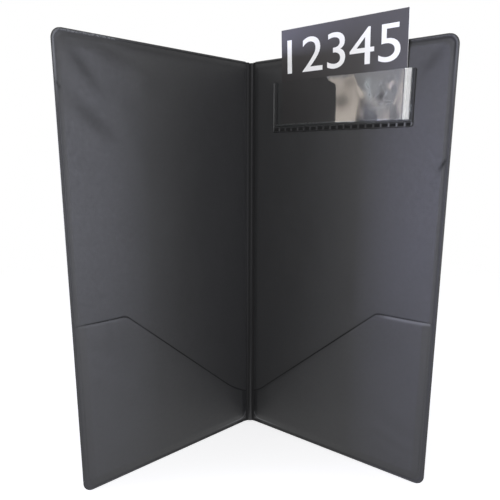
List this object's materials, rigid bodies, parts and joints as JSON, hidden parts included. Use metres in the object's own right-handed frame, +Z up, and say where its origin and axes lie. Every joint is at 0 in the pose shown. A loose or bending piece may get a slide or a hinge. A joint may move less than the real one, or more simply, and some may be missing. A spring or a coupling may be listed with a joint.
{
  "type": "guest check presenter",
  "caption": "Black vinyl restaurant bill folder, standing open, with slip pockets, a clear card window and a card.",
  "frame": {"origin": "foot of the spine, midway between the two crease axes, on the surface the folder stands on", "axes": "+Z up along the spine, +X towards the right cover, -Y towards the reader, so the inside of the folder faces -Y"},
  "size_m": [0.2034, 0.1, 0.269],
  "materials": {
    "cover_vinyl": "fine leather grain, low sheen",
    "lining_vinyl": "fine linen grain, low sheen",
    "pocket_vinyl": "fine linen grain, low sheen",
    "fused_vinyl": "smooth, pressed by the sealing die",
    "stiffener_board": "plain grey board",
    "clear_film": "clear, glossy, slightly rippled",
    "printed_card": "dark satin card with white print"
  },
  "bodies": {
    "spine": {"spine_outer_strip": "cover_vinyl", "spine_lining_rib": "lining_vinyl", "spine_pocket_strip": "pocket_vinyl"},
    "left_cover": {"left_outer_cover": "cover_vinyl", "left_board": "stiffener_board", "left_lining": "lining_vinyl", "left_crease_weld": "fused_vinyl", "left_edge_weld": "fused_vinyl", "left_pocket_seam": "fused_vinyl", "left_pocket": "pocket_vinyl"},
    "right_cover": {"right_outer_cover": "cover_vinyl", "right_board": "stiffener_board", "right_lining": "lining_vinyl", "right_crease_weld": "fused_vinyl", "right_edge_weld": "fused_vinyl", "right_pocket_seam": "fused_vinyl", "right_pocket": "pocket_vinyl", "card_window_seam": "fused_vinyl", "card_window_film": "clear_film"},
    "card": {"guest_card": "printed_card"}
  },
  "joints": [
    {"name": "left_crease", "type": "hinge", "parent": "spine", "child": "left_cover", "pos_m": [-0.0025, 0, 0], "axis": [0, 0, -1], "range_deg": [-45, 45]},
    {"name": "right_crease", "type": "hinge", "parent": "spine", "child": "right_cover", "pos_m": [0.0025, 0, 0], "axis": [0, 0, 1], "range_deg": [-45, 45]},
    {"name": "card_slide", "type": "slide", "parent": "right_cover", "child": "card", "axis": [0, 0, 1], "range_m": [0, 0.026]}
  ]
}
